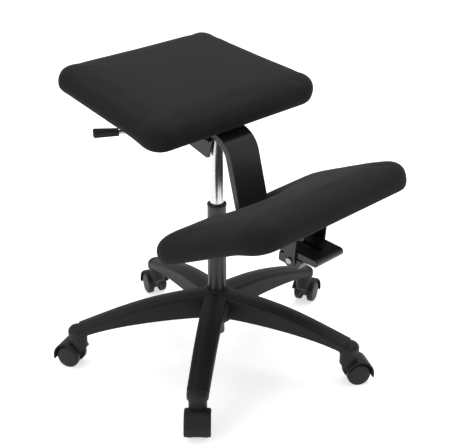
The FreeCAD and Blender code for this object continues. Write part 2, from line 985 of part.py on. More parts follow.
arm_bolt_places = []
arm_nut_places = []
for side in (-1, 1):
    for depth in (42, 88):
        arm_bolt_places.append(Placement(Vector(side * 33, depth, number(arm_flat)), Rotation()))
        arm_nut_places.append(Placement(Vector(side * 33, depth, number(plate_low)), Rotation()))
arm_bolts = grouped("arm_bolts", "arm_bolts", bolt_shape(4.0, 29.0, 6.2, 4.5), arm_bolt_places)
arm_nuts = grouped("arm_nuts", "arm_nuts", nut_shape(4.0, 13.0, 6.5), arm_nut_places)

flip = Placement(Vector(0, 0, 0), Rotation(Vector(1, 0, 0), 180))
seat_screw_places = []
for side in (-1, 1):
    for depth in (-98, 34):
        local = Placement(Vector(side * 76, depth, number(-seat_half - sheet_thick)), Rotation())
        seat_screw_places.append(seat_place.multiply(local).multiply(flip))
seat_screws = grouped(
    "seat_screws", "seat_screws", bolt_shape(3.0, 11.0, 5.5, 3.0), seat_screw_places
)
keep(arm_bolts, arm_nuts, seat_screws)

# ---- lift lever: rod, grip, pivot pin and the yoke that carries them
lever_radius = size("lever_radius")
lever_angle = math.degrees(math.atan2(71.2, -159.4))
pivot_spot = Vector(-28.0, 14.0, number(lever_height))
lever_place = about_z(lever_angle, pivot_spot)

lever_rod = new_body("lever_rod", lever_place)
lever_path = new_sketch(lever_rod, "Path", "XY_Plane")
sweep = math.radians(-12.5)
knee_x = 144.0
start_x = -30.6
tail = 44.0
bend_r = 30.0
cut = bend_r * math.tan(abs(sweep) / 2)
first_end = (knee_x - cut, 0.0)
second_start = (knee_x + cut * math.cos(sweep), cut * math.sin(sweep))
arc_centre = (knee_x - cut, -bend_r)
arc_mid = (
    arc_centre[0] + bend_r * math.sin(abs(sweep) / 2),
    arc_centre[1] + bend_r * math.cos(abs(sweep) / 2),
)
second_end = (knee_x + tail * math.cos(sweep), tail * math.sin(sweep))
lever_path.addGeometry(Part.LineSegment(Vector(start_x, 0, 0), Vector(*first_end, 0)), False)
lever_path.addGeometry(
    Part.Arc(Vector(*first_end, 0), Vector(*arc_mid, 0), Vector(*second_start, 0)), False
)
lever_path.addGeometry(Part.LineSegment(Vector(*second_start, 0), Vector(*second_end, 0)), False)
lever_ring = new_sketch(lever_rod, "Ring", "YZ_Plane", start_x)
draw_circle(lever_ring, (0, 0), lever_radius)
rod_pipe = lever_rod.newObject("PartDesign::AdditivePipe", "lever_rodPipe")
rod_pipe.Profile = lever_ring
rod_pipe.Spine = (lever_path, ["Edge1", "Edge2", "Edge3"])
doc.recompute()
rod_bore = new_sketch(lever_rod, "PivotBore", "XZ_Plane")
draw_circle(rod_bore, (0, 0), 2.0 + 0.05)
pocket(lever_rod, rod_bore, 20.0, "PivotCut", middle=True)

grip_place = lever_place.multiply(
    Placement(
        Vector(second_end[0], second_end[1], 0),
        Rotation(Vector(0, 0, 1), math.degrees(sweep)),
    )
)
lever_grip = new_body("lever_grip", grip_place)
grip_sketch = new_sketch(lever_grip, "Plan", "XY_Plane", -5.5)
draw_path(
    grip_sketch,
    [
        ((-24.0, -9.0),),
        ((20.0, -13.5),),
        ((22.9, -12.3), (24.1, -9.5)),
        ((24.6, 0.0), (24.1, 9.5)),
        ((22.9, 12.3), (20.0, 13.5)),
        ((-24.0, 9.0),),
    ],
)
pad(lever_grip, grip_sketch, 11.0)
dress(
    lever_grip,
    "Fillet",
    2.0,
    lambda edge: edge.BoundBox.ZLength < 0.01,
    "Round",
)
grip_bore = new_sketch(lever_grip, "Bore", "YZ_Plane", -27.0)
draw_circle(grip_bore, (0, 0), lever_radius)
pocket(lever_grip, grip_bore, 27.0, "BoreCut", reverse=True)

lever_pin = turned_body(
    "lever_pivot_pin",
    [(0, -9.5), (2, -9.5), (2, 8), (3.4, 8), (3.4, 9.5), (0, 9.5)],
    lever_place.multiply(Placement(Vector(0, 0, 0), Rotation(Vector(1, 0, 0), 90))),
)
lever_yoke = new_body("lever_yoke", lever_place)
yoke_base = new_sketch(lever_yoke, "Base", "XY_Plane", arm_flat - lever_height)
draw_polygon(yoke_base, [(-7, -8), (7, -8), (7, 8), (-7, 8)])
pad(lever_yoke, yoke_base, 1.6, "BasePad")
for start, name in ((4.6, "Near"), (-8.0, "Far")):
    ear = new_sketch(lever_yoke, name + "Ear", "XZ_Plane", start)
    draw_polygon(
        ear,
        [(-7, arm_flat - lever_height), (7, arm_flat - lever_height), (7, 3), (4, 6), (-4, 6), (-7, 3)],
    )
    pad(lever_yoke, ear, 3.4, name + "EarPad")
yoke_bore = new_sketch(lever_yoke, "PinBore", "XZ_Plane")
draw_circle(yoke_bore, (0, 0), 2.0)
pocket(lever_yoke, yoke_bore, 24.0, "PinCut", middle=True)
keep(lever_rod, lever_grip, lever_pin, lever_yoke)


# ---- cushions: lofts through rounded outlines, wider toward the gap between seat and knee pad


def cushion_steps(front, rear, depth, radius, inset):
    """Rounded four-sided plan outline, drawn in by inset on every side."""
    half_depth = depth / 2 - inset
    wide_front = front / 2 - inset
    wide_rear = rear / 2 - inset
    r = max(radius - inset * 0.7, 8.0)
    corners = [
        (wide_front, -half_depth), (wide_rear, half_depth),
        (-wide_rear, half_depth), (-wide_front, -half_depth),
    ]
    steps = []
    for i, corner in enumerate(corners):
        before = corners[i - 1]
        after = corners[(i + 1) % 4]
        a = Vector(before[0] - corner[0], before[1] - corner[1], 0).normalize()
        b = Vector(after[0] - corner[0], after[1] - corner[1], 0).normalize()
        angle = a.getAngle(b)
        back = r / math.tan(angle / 2)
        point = Vector(corner[0], corner[1], 0)
        enter = point + a * back
        leave = point + b * back
        bisector = (a + b).normalize()
        centre = point + bisector * (r / math.sin(angle / 2))
        middle = centre - bisector * r
        steps.append(((enter.x, enter.y),))
        steps.append(((middle.x, middle.y), (leave.x, leave.y)))
    return steps


def cushion(label, place, front, rear, depth, radius, sides, crown):
    """Upholstered block: one loft for the sides and their roll, a second for the crowned top.

    sides and crown list height above the middle and how far the outline is drawn in there.
    """
    body = new_body(label, place)
    for part_name, levels in (("Side", sides), ("Crown", crown)):
        rows = []
        for i, (level, inset) in enumerate(levels):
            sketch = new_sketch(body, "%s%d" % (part_name, i), "XY_Plane", level)
            draw_path(sketch, cushion_steps(front, rear, depth, radius, inset))
            rows.append(sketch)
        loft = body.newObject("PartDesign::AdditiveLoft", label + part_name + "Loft")
        loft.Profile = rows[0]
        loft.Sections = rows[1:]
        loft.Ruled = False
        doc.recompute()
    return body


def underside(body, front_edge, rear_edge, level, lip_front, lip_rear):
    """Hollow the underside between a hanging front lip and a smaller rear lip."""
    sketch = new_sketch(body, "Arch", "YZ_Plane")
    deep = level - 40.0
    draw_path(
        sketch,
        [
            ((front_edge + 24.0, deep),),
            ((front_edge + 24.0, level - lip_front - 1.0),),
            ((front_edge + 34.0, level - lip_front * 0.45), (front_edge + 62.0, level)),
            ((rear_edge - 40.0, level),),
            ((rear_edge - 26.0, level - lip_rear * 0.5), (rear_edge - 14.0, level - lip_rear)),
            ((rear_edge + 20.0, level - lip_rear),),
            ((rear_edge + 20.0, deep),),
        ],
    )
    pocket(body, sketch, 700.0, "ArchCut", middle=True)


seat_cushion = cushion(
    "seat_cushion",
    seat_place,
    number(size("seat_front")),
    number(size("seat_rear")),
    number(size("seat_depth")),
    40.0,
    [(-31.5, 11.0), (-27.0, 5.0), (-17.0, 1.0), (0.0, 0.0), (11.0, 3.0), (19.0, 9.5), (25.0, 22.0)],
    [(25.0, 22.0), (28.5, 46.0), (31.0, 90.0)],
)
underside(seat_cushion, -160.0, 160.0, -23.0, 8.5, 2.0)
seat_pocket = new_sketch(seat_cushion, "BoardPocket", "XY_Plane", -seat_half - 15)
draw_polygon(seat_pocket, [(-165.3, -115.3), (165.3, -115.3), (165.3, 110.3), (-165.3, 110.3)])
pocket(seat_cushion, seat_pocket, size("board_thick") + 15, "BoardCut", reverse=True)
board_thick = size("board_thick")
seat_board = box_body(
    "seat_board",
    (-165, -115, -seat_half),
    (165, 110, -seat_half + board_thick),
    seat_place,
)
seat_holes = new_sketch(seat_board, "ScrewHoles", "XY_Plane", -seat_half)
for side in (-1, 1):
    for depth in (-98, 34):
        draw_circle(seat_holes, (side * 76, depth), 3.0)
pocket(seat_board, seat_holes, 8.2, "ScrewCut", reverse=True)

knee_middle = pivot_spot_back() + number(size("knee_back"))
knee_level = arm_middle(knee_middle) + number(size("knee_rise"))
knee_place = Placement(
    Vector(0, knee_middle, knee_level),
    Rotation(Vector(1, 0, 0), -number(size("knee_tilt"))),
)
knee_half = size("knee_half")
knee_cushion = cushion(
    "knee_cushion",
    knee_place,
    number(size("knee_front")),
    number(size("knee_rear")),
    number(size("knee_depth")),
    52.0,
    [(-35.5, 14.0), (-31.0, 7.0), (-20.0, 1.5), (-4.0, 0.0), (8.0, 4.0), (17.0, 11.5), (24.0, 25.0)],
    [(24.0, 25.0), (27.5, 50.0), (30.0, 85.0)],
)
underside(knee_cushion, -140.0, 140.0, -25.0, 10.5, 2.0)
notch = new_sketch(knee_cushion, "Notch", "XY_Plane", -60.0)
draw_path(
    notch,
    [
        ((50.0, 200.0),),
        ((50.0, 82.0),),
        ((45.0, 68.5), (32.0, 63.0)),
        ((-32.0, 63.0),),
        ((-45.0, 68.5), (-50.0, 82.0)),
        ((-50.0, 200.0),),
    ],
)
pocket(knee_cushion, notch, 120.0, "NotchCut", reverse=True)


def to_knee(y, z):
    """Chair depth and height turned into the tilted frame of the knee pad."""
    tilt = math.radians(number(size("knee_tilt")))
    dy = y - knee_middle
    dz = z - knee_level
    return (dy * math.cos(tilt) - dz * math.sin(tilt), dy * math.sin(tilt) + dz * math.cos(tilt))


relief = new_sketch(knee_cushion, "Relief", "YZ_Plane")
draw_path(
    relief,
    [tuple(to_knee(*point) for point in step) for step in arm_outline(15.0)],
)
pocket(knee_cushion, relief, 106.0, "ReliefCut", middle=True)
knee_pocket = new_sketch(knee_cushion, "BoardPocket", "XY_Plane", -knee_half - 18)
draw_polygon(knee_pocket, [(-165.3, -95.3), (165.3, -95.3), (165.3, 38.3), (-165.3, 38.3)])
pocket(knee_cushion, knee_pocket, board_thick + 18, "BoardCut", reverse=True)

knee_board = box_body(
    "knee_board",
    (-165, -95, -knee_half),
    (165, 38, -knee_half + board_thick),
    knee_place,
)
knee_holes = new_sketch(knee_board, "ScrewHoles", "XY_Plane", -knee_half)
for side in (-1, 1):
    for depth in (-44, 12):
        draw_circle(knee_holes, (side * 58, depth), 3.0)
pocket(knee_board, knee_holes, 8.2, "ScrewCut", reverse=True)
keep(seat_cushion, seat_board, knee_cushion, knee_board)

# ---- knee pad carrier: tilt bracket, slide block, pivot bolt and nut, clamp bolt and nut
pivot_radius = size("pivot_radius")
pivot_back = pivot_spot_back()
pivot_reach = (number(size("pivot_drop")) + number(arm_thick) / 2) / math.cos(LOWER_LINE)
pivot_at = (pivot_back, arm_middle(pivot_back) - pivot_reach)
pivot_local = to_knee(*pivot_at)
tilt_bracket = new_body("tilt_bracket", knee_place)
tilt_top = new_sketch(tilt_bracket, "Top", "XY_Plane", -knee_half - sheet_thick)
draw_polygon(tilt_top, [(-70, -64), (70, -64), (70, 24), (-70, 24)])
for side in (-1, 1):
    for depth in (-44, 12):
        draw_circle(tilt_top, (side * 58, depth), 3.3)
pad(tilt_bracket, tilt_top, sheet_thick, "TopPad")
for side, name in ((-1, "Right"), (1, "Left")):
    start = arm_half + 2 if side > 0 else -arm_half - 2 - sheet_thick
    cheek = new_sketch(tilt_bracket, name + "Cheek", "YZ_Plane", start)
    px, pz = pivot_local
    up = number(-knee_half - sheet_thick) + 1.0
    draw_path(
        cheek,
        [
            ((px - 13.0, pz),),
            ((px, pz - 13.0), (px + 13.0, pz)),
            ((px - 8.0, up),),
            ((px - 46.0, up),),
        ],
    )
    pad(tilt_bracket, cheek, sheet_thick, name + "CheekPad")
tilt_bore = new_sketch(tilt_bracket, "PivotBore", "YZ_Plane")
draw_circle(tilt_bore, pivot_local, pivot_radius + running)
pocket(tilt_bracket, tilt_bore, 120.0, "PivotCut", middle=True)

block_place = Placement(Vector(0, *pivot_at), Rotation(Vector(1, 0, 0), 6.0))
block = new_body("slide_block", block_place)
slide_gap = number(size("slide_gap"))
arm_low_at_pivot = number(size("pivot_drop")) - slide_gap
block_sketch = new_sketch(block, "Side", "YZ_Plane")
draw_polygon(
    block_sketch,
    [(-24, arm_low_at_pivot), (-26, 2), (-20, -12), (26, -12), (28, -8), (28, arm_low_at_pivot)],
)
pad(block, block_sketch, (arm_half + 1.7) * 2, "Pad", middle=True)
block_bore = new_sketch(block, "PivotBore", "YZ_Plane")
draw_circle(block_bore, (0, 0), pivot_radius)
pocket(block, block_bore, 120.0, "PivotCut", middle=True)
clamp_at = 16.0
clamp_bore = new_sketch(block, "ClampBore", "XY_Plane", 20.0)
draw_circle(clamp_bore, (0, clamp_at), 4.2)
pocket(block, clamp_bore, 40.0, "ClampCut")
clamp_seat = new_sketch(block, "ClampSeat", "XY_Plane", -20.0)
draw_circle(clamp_seat, (0, clamp_at), 9.0)
pocket(block, clamp_seat, 14.5, "ClampSeatCut", reverse=True)

side_turn = Placement(Vector(0, *pivot_at), Rotation(Vector(0, 1, 0), 90))
outer_face = arm_half + 2 + sheet_thick
pivot_bolt = turned_body(
    "pivot_bolt",
    [
        (0, -outer_face - 4),
        (5.2, -outer_face - 4),
        (6.4, -outer_face - 2.8),
        (6.4, -outer_face),
        (pivot_radius, -outer_face),
        (pivot_radius, outer_face + 7.5),
        (pivot_radius - 0.7, outer_face + 8.2),
        (0, outer_face + 8.2),
    ],
    side_turn,
)
pivot_nut = new_body("pivot_nut", side_turn)
nut_sketch = new_sketch(pivot_nut, "Hexagon", "XY_Plane", outer_face)
reach = 13.0 / math.sqrt(3)
draw_polygon(
    nut_sketch,
    [(reach * math.cos(math.radians(60 * i)), reach * math.sin(math.radians(60 * i))) for i in range(6)],
)
draw_circle(nut_sketch, (0, 0), pivot_radius)
pad(pivot_nut, nut_sketch, 6.8)

arm_face_up = number(size("pivot_drop")) + number(arm_thick) + slide_gap
clamp_bolt = turned_body(
    "clamp_bolt",
    [
        (0, -11.2),
        (4, -11.2),
        (4, arm_face_up),
        (9, arm_face_up),
        (9, arm_face_up + 1.2),
        (6.5, arm_face_up + 4),
        (0, arm_face_up + 4.6),
    ],
    block_place.multiply(Placement(Vector(0, clamp_at, 0), Rotation())),
)
clamp_nut = new_body("clamp_nut", block_place.multiply(Placement(Vector(0, clamp_at, 0), Rotation())))
clamp_sketch = new_sketch(clamp_nut, "Hexagon", "XY_Plane", -11.5)
draw_polygon(
    clamp_sketch,
    [(reach * math.cos(math.radians(60 * i)), reach * math.sin(math.radians(60 * i))) for i in range(6)],
)
draw_circle(clamp_sketch, (0, 0), 4.0)
pad(clamp_nut, clamp_sketch, 6.0)

knee_screw_places = []
for side in (-1, 1):
    for depth in (-44, 12):
        local = Placement(Vector(side * 58, depth, number(-knee_half - sheet_thick)), Rotation())
        knee_screw_places.append(knee_place.multiply(local).multiply(flip))
knee_screws = grouped(
    "knee_screws", "knee_screws", bolt_shape(3.0, 11.0, 5.5, 3.0), knee_screw_places
)
keep(tilt_bracket, block, pivot_bolt, pivot_nut, clamp_bolt, clamp_nut, knee_screws)

doc.recompute()
problems = []
for item in doc.Objects:
    if "Invalid" in item.State or "Error" in item.State:
        problems.append(item.Name + " " + ",".join(item.State))
for item in exports:
    if item.Shape.isNull() or not item.Shape.isValid() or item.Shape.Volume <= 0:
        problems.append(item.Label + " has no valid solid")
if problems:
    raise RuntimeError("; ".join(problems))
for item in exports:
    item.Shape.exportStep("parts/%s.step" % item.Label)
print("%d pieces" % len(exports))
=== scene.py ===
"""Looks of the kneeling chair: cushions, finishes, floor, light and camera.

Metres, Z up, origin on the floor under the column.  The sitter faces -Y.
"""

import json
import logging
import math
from dataclasses import dataclass, field
from enum import Enum
from typing import Callable, Optional, Sequence

import bmesh
import bpy
import numpy as np
from mathutils import Matrix, Vector


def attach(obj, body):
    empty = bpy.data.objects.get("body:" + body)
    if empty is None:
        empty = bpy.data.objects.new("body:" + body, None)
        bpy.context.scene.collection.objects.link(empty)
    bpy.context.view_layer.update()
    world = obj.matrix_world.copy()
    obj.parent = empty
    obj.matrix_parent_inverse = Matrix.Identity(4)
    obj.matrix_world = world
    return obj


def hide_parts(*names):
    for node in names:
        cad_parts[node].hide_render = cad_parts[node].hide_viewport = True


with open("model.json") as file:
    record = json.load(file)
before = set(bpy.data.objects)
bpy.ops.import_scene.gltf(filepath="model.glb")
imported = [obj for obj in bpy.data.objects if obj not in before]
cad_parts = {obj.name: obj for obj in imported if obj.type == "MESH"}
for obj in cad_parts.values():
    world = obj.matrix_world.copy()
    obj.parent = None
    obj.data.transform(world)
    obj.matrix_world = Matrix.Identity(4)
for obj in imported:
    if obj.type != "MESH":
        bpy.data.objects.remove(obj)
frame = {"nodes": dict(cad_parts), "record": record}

log = logging.getLogger("kneeling_chair")

Color = tuple[float, float, float]
Point = tuple[float, float, float]
MM = 0.001


class Coordinates(Enum):
    """Which coordinates of the surface a finish reads."""

    OBJECT = "Object"
    NORMAL = "Normal"


class Graph:
    """Node tree of one material, with short calls to add and join nodes."""

    def __init__(self, name: str) -> None:
        """Make the material and find its shader.

        Args:
            name: Name of the material.
        """
        self.material = bpy.data.materials.new(name)
        self.material.use_nodes = True
        self.tree = self.material.node_tree
        self.shader = self.tree.nodes["Principled BSDF"]
        self.output = self.tree.nodes["Material Output"]

    def add(self, kind: str, inputs: Optional[dict] = None, **settings: object) -> bpy.types.Node:
        """Add one node.

        Args:
            kind: Node type without its ShaderNode prefix.
            inputs: Values or sockets for the node's inputs, by name or index.
            **settings: Properties of the node itself.

        Returns:
            The new node.
        """
        node = self.tree.nodes.new("ShaderNode" + kind)
        for key, value in settings.items():
            setattr(node, key, value)
        for key, value in (inputs or {}).items():
            self.feed(node.inputs[key], value)
        return node

    def feed(self, socket: bpy.types.NodeSocket, value: object) -> None:
        """Give a socket a plain value or another node's output."""
        if isinstance(value, bpy.types.NodeSocket):
            self.tree.links.new(value, socket)
        elif isinstance(value, tuple) and socket.type == "RGBA" and len(value) == 3:
            socket.default_value = (*value, 1.0)
        else:
            socket.default_value = value

    def math(self, operation: str, first: object, second: object = 0.0) -> bpy.types.NodeSocket:
        """Arithmetic on two values."""
        return self.add("Math", {0: first, 1: second}, operation=operation).outputs[0]

    def vector(
        self, operation: str, first: object, second: object = (0.0, 0.0, 0.0)
    ) -> bpy.types.Node:
        """Vector arithmetic node."""
        return self.add("VectorMath", {0: first, 1: second}, operation=operation)

    def scaled(self, first: object, factor: float) -> bpy.types.NodeSocket:
        """Vector times a plain number."""
        return self.add("VectorMath", {0: first, "Scale": factor}, operation="SCALE").outputs[0]

    def coordinates(self, kind: Coordinates = Coordinates.OBJECT) -> bpy.types.NodeSocket:
        """Texture coordinates that stay with the surface."""
        return self.add("TexCoord").outputs[kind.value]

    def noise(
        self, where: object, scale: float, detail: float = 3.0, rough: float = 0.5
    ) -> bpy.types.NodeSocket:
        """Grey noise between zero and one.

        Args:
            where: Coordinates socket.
            scale: Grains per metre.
            detail: Octaves.
            rough: How strong the finer octaves are.

        Returns:
            The value output.
        """
        node = self.add(
            "TexNoise", {"Vector": where, "Scale": scale, "Detail": detail, "Roughness": rough}
        )
        return node.outputs["Fac"]

    def spread(self, value: object, low: float, high: float) -> bpy.types.NodeSocket:
        """Rescale a value between zero and one to a chosen span."""
        node = self.add("MapRange", {"Value": value, "To Min": low, "To Max": high})
        return node.outputs["Result"]

    def mix(self, amount: object, first: Color, second: Color) -> bpy.types.NodeSocket:
        """Blend two colours."""
        node = self.add("Mix", data_type="RGBA")
        self.feed(node.inputs[0], amount)
        self.feed(node.inputs[6], first)
        self.feed(node.inputs[7], second)
        return node.outputs[2]

    def bump(
        self, height: object, depth: float, strength: float = 1.0, normal: object = None
    ) -> bpy.types.NodeSocket:
        """Relief from a height value.

        Args:
            height: Height between zero and one.
            depth: Height of one in metres.
            strength: Share of the relief that shows.
            normal: Normal to start from.

        Returns:
            The normal output.
        """
        node = self.add("Bump", {"Height": height, "Distance": depth, "Strength": strength})
        if normal is not None:
            self.feed(node.inputs["Normal"], normal)
        return node.outputs["Normal"]

    def soft_edges(self, radius: float) -> bpy.types.NodeSocket:
        """Normal that rounds the sharp edges of rigid pieces."""
        return self.add("Bevel", {"Radius": radius}, samples=4).outputs["Normal"]

    def edge_wear(self, low: float, high: float) -> bpy.types.NodeSocket:
        """One on convex edges and zero on flat faces."""
        geometry = self.add("NewGeometry")
        node = self.add(
            "MapRange", {"Value": geometry.outputs["Pointiness"], "From Min": low, "From Max": high}
        )
        return node.outputs["Result"]


@dataclass(frozen=True)
class Finish:
    """A surface finish; each kind builds its own material."""

    name: str

    def build(self) -> bpy.types.Material:
        """Make the material."""
        raise NotImplementedError


@dataclass(frozen=True)
class WovenCloth(Finish):
    """Stretched upholstery cloth with a fine even weave."""

    color: Color = (0.0102, 0.0091, 0.0096)
    lighter: Color = (0.016, 0.0146, 0.0152)
    thread: float = 0.9 * MM
    tilt: float = 0.0
    relief: float = 0.22 * MM
    drift: float = 1.6 * MM

    def build(self) -> bpy.types.Material:
        """Make the cloth.

        Returns:
            A material whose threads run along the cushion's own length and width.
        """
        g = Graph(self.name)
        level = (-self.tilt, 0.0, 0.0)
        lay = g.add("Mapping", {"Vector": g.coordinates(), "Rotation": level}, vector_type="POINT")
        normal = g.coordinates(Coordinates.NORMAL)
        facing = g.add("Mapping", {"Vector": normal, "Rotation": level})
        waver = g.noise(lay.outputs[0], 40.0, 2.0)
        wander = g.add("TexNoise", {"Vector": lay.outputs[0], "Scale": 14.0, "Detail": 1.0})
        drift = g.vector("ADD", lay.outputs[0], g.scaled(wander.outputs["Color"], self.drift))
        waves = g.vector("SINE", g.scaled(drift.outputs[0], math.pi / self.thread))
        sines = g.add("SeparateXYZ", {0: waves.outputs[0]})
        first = g.add("CombineXYZ", {0: sines.outputs[1], 1: sines.outputs[2], 2: sines.outputs[0]})
        second = g.add("CombineXYZ", {0: sines.outputs[2], 1: sines.outputs[0], 2: sines.outputs[1]})
        crossings = g.vector("MULTIPLY", first.outputs[0], second.outputs[0])
        squared = g.vector("MULTIPLY", facing.outputs[0], facing.outputs[0])
        weave = g.vector("DOT_PRODUCT", crossings.outputs[0], squared.outputs[0]).outputs["Value"]
        weave = g.math("MULTIPLY_ADD", weave, 0.5)
        weave.node.inputs[2].default_value = 0.5
        fibre = g.noise(lay.outputs[0], 2600.0, 2.0, 0.6)
        blotch = g.noise(lay.outputs[0], 9.0, 3.0, 0.45)
        tone = g.math("ADD", g.math("MULTIPLY", weave, 0.45), g.math("MULTIPLY", blotch, 0.35))
        tone = g.math("ADD", tone, g.math("MULTIPLY", waver, 0.2))
        g.feed(g.shader.inputs["Base Color"], g.mix(tone, self.color, self.lighter))
        g.feed(g.shader.inputs["Roughness"], g.spread(fibre, 0.82, 0.95))
        g.shader.inputs["Specular IOR Level"].default_value = 0.18
        g.shader.inputs["Sheen Weight"].default_value = 0.05
        g.shader.inputs["Sheen Roughness"].default_value = 0.45
        g.shader.inputs["Sheen Tint"].default_value = (0.55, 0.52, 0.54, 1.0)
        height = g.math("ADD", g.math("MULTIPLY", weave, 0.75), g.math("MULTIPLY", fibre, 0.25))
        g.feed(g.shader.inputs["Normal"], g.bump(height, self.relief, 0.55))
        return g.material


@dataclass(frozen=True)
class MouldedPlastic(Finish):
    """Glass-filled nylon with the fine grain of its mould."""

    color: Color = (0.0105, 0.0105, 0.0108)
    worn: Color = (0.021, 0.021, 0.0215)
    smooth: float = 0.5
    rough: float = 0.62
    grain: float = 1500.0
    relief: float = 0.06 * MM
    edge: float = 0.9 * MM

    def build(self) -> bpy.types.Material:
        """Make the plastic.

        Returns:
            A material with mould grain, slow changes of gloss and paler edges.
        """
        g = Graph(self.name)
        where = g.coordinates()
        grain = g.noise(where, self.grain, 2.0, 0.6)
        flow = g.noise(where, 22.0, 4.0, 0.55)
        wear = g.math("MULTIPLY", g.edge_wear(0.52, 0.62), g.spread(flow, 0.2, 0.9))
        tone = g.math("ADD", g.math("MULTIPLY", flow, 0.22), g.math("MULTIPLY", wear, 0.55))
        g.feed(g.shader.inputs["Base Color"], g.mix(tone, self.color, self.worn))
        g.feed(g.shader.inputs["Roughness"], g.spread(flow, self.smooth, self.rough))
        g.shader.inputs["IOR"].default_value = 1.5
        g.shader.inputs["Specular IOR Level"].default_value = 0.27
        normal = g.soft_edges(self.edge)
        g.feed(g.shader.inputs["Normal"], g.bump(grain, self.relief, 0.6, normal))
        return g.material


@dataclass(frozen=True)
class PowderCoat(Finish):
    """Black powder coat on steel, with its orange-peel texture."""

    color: Color = (0.011, 0.0114, 0.0114)
    lighter: Color = (0.02, 0.0207, 0.0203)
    smooth: float = 0.27
    rough: float = 0.4
    peel: float = 420.0
    relief: float = 0.05 * MM
    edge: float = 0.8 * MM

    def build(self) -> bpy.types.Material:
        """Make the coat.

        Returns:
            A satin black material with a soft ripple and scuffed edges.
        """
        g = Graph(self.name)
        where = g.coordinates()
        peel = g.noise(where, self.peel, 2.0, 0.5)
        cloud = g.noise(where, 16.0, 3.0, 0.5)
        scuff = g.math("MULTIPLY", g.edge_wear(0.53, 0.66), g.noise(where, 120.0, 3.0, 0.7))
        tone = g.math("ADD", g.math("MULTIPLY", cloud, 0.35), g.math("MULTIPLY", scuff, 0.5))
        g.feed(g.shader.inputs["Base Color"], g.mix(tone, self.color, self.lighter))
        g.feed(g.shader.inputs["Roughness"], g.spread(cloud, self.smooth, self.rough))
        g.shader.inputs["IOR"].default_value = 1.5
        normal = g.soft_edges(self.edge)
        g.feed(g.shader.inputs["Normal"], g.bump(peel, self.relief, 0.5, normal))
        return g.material


@dataclass(frozen=True)
class BareMetal(Finish):
    """Plated, ground or polished metal."""

    color: Color = (0.58, 0.58, 0.59)
    darker: Color = (0.45, 0.45, 0.46)
    smooth: float = 0.05
    rough: float = 0.12
    streak: Point = (900.0, 900.0, 30.0)
    relief: float = 0.004 * MM

    def build(self) -> bpy.types.Material:
        """Make the metal.

        Returns:
            A metal with fine drawn lines.
        """
        g = Graph(self.name)
        stretched = g.vector("MULTIPLY", g.coordinates(), self.streak)
        lines = g.noise(stretched.outputs[0], 1.0, 3.0, 0.55)
        cloud = g.noise(g.coordinates(), 30.0, 2.0)
        g.feed(g.shader.inputs["Base Color"], g.mix(cloud, self.color, self.darker))
        g.shader.inputs["Metallic"].default_value = 1.0
        g.feed(g.shader.inputs["Roughness"], g.spread(lines, self.smooth, self.rough))
        g.feed(g.shader.inputs["Normal"], g.bump(lines, self.relief, 0.4, g.soft_edges(0.3 * MM)))
        return g.material


@dataclass(frozen=True)
class StainedPly(Finish):
    """Black-stained plywood with its layers showing at the edges."""

    color: Color = (0.018, 0.015, 0.013)
    lighter: Color = (0.05, 0.038, 0.028)
    layer: float = 1.6 * MM

    def build(self) -> bpy.types.Material:
        """Make the board.

        Returns:
            A dark wood with long grain.
        """
        g = Graph(self.name)
        long_grain = g.vector("MULTIPLY", g.coordinates(), (18.0, 240.0, 1.0 / self.layer))
        grain = g.noise(long_grain.outputs[0], 1.0, 4.0, 0.6)
        pores = g.noise(long_grain.outputs[0], 6.0, 2.0, 0.7)
        g.feed(g.shader.inputs["Base Color"], g.mix(grain, self.color, self.lighter))
        g.feed(g.shader.inputs["Roughness"], g.spread(pores, 0.5, 0.75))
        g.feed(g.shader.inputs["Normal"], g.bump(pores, 0.08 * MM, 0.5))
        return g.material


@dataclass(frozen=True)
class StudioFloor(Finish):
    """Pale floor that reads white and keeps the chair's soft shadow."""

    color: Color = (0.8, 0.8, 0.8)
    lift: float = 0.62

    def build(self) -> bpy.types.Material:
        """Make the floor.

        Returns:
            A diffuse floor with an even glow that only direct looks and reflections see.
        """
        g = Graph(self.name)
        path = g.add("LightPath")
        seen = g.math("MAXIMUM", path.outputs["Is Camera Ray"], path.outputs["Is Glossy Ray"])
        seen = g.math("MAXIMUM", seen, path.outputs["Is Transmission Ray"])
        speck = g.noise(g.coordinates(), 60.0, 2.0)
        g.feed(g.shader.inputs["Base Color"], g.mix(speck, self.color, (0.83, 0.83, 0.83)))
        g.shader.inputs["Roughness"].default_value = 0.9
        g.shader.inputs["Specular IOR Level"].default_value = 0.0
        g.shader.inputs["Emission Color"].default_value = (1.0, 1.0, 1.0, 1.0)
        g.feed(g.shader.inputs["Emission Strength"], g.math("MULTIPLY", seen, self.lift))
        return g.material


def smooth_table(points: Sequence[tuple[float, float]], count: int = 400) -> np.ndarray:
    """Dense curve through a few points.

    Args:
        points: Places that the curve passes, in order.
        count: How many places to return.

    Returns:
        An array of evenly parted places on a Catmull-Rom curve.
    """
    p = np.array(points, float)
    p = np.vstack([2 * p[0] - p[1], p, 2 * p[-1] - p[-2]])
    spans = len(p) - 3
    t = np.linspace(0, spans, count * 4, endpoint=False)
    i = t.astype(int)
    f = (t - i)[:, None]
    a, b, c, d = p[i], p[i + 1], p[i + 2], p[i + 3]
    bend = (2 * a - 5 * b + 4 * c - d) * f**2 + (3 * b - a - 3 * c + d) * f**3
    curve = 0.5 * (2 * b + (c - a) * f + bend)
    curve = np.vstack([curve, p[-2]])
    steps = np.concatenate([[0], np.cumsum(np.hypot(*np.diff(curve, axis=0).T))])
    even = np.linspace(0, steps[-1], count)
    return np.column_stack([np.interp(even, steps, curve[:, k]) for k in (0, 1)])


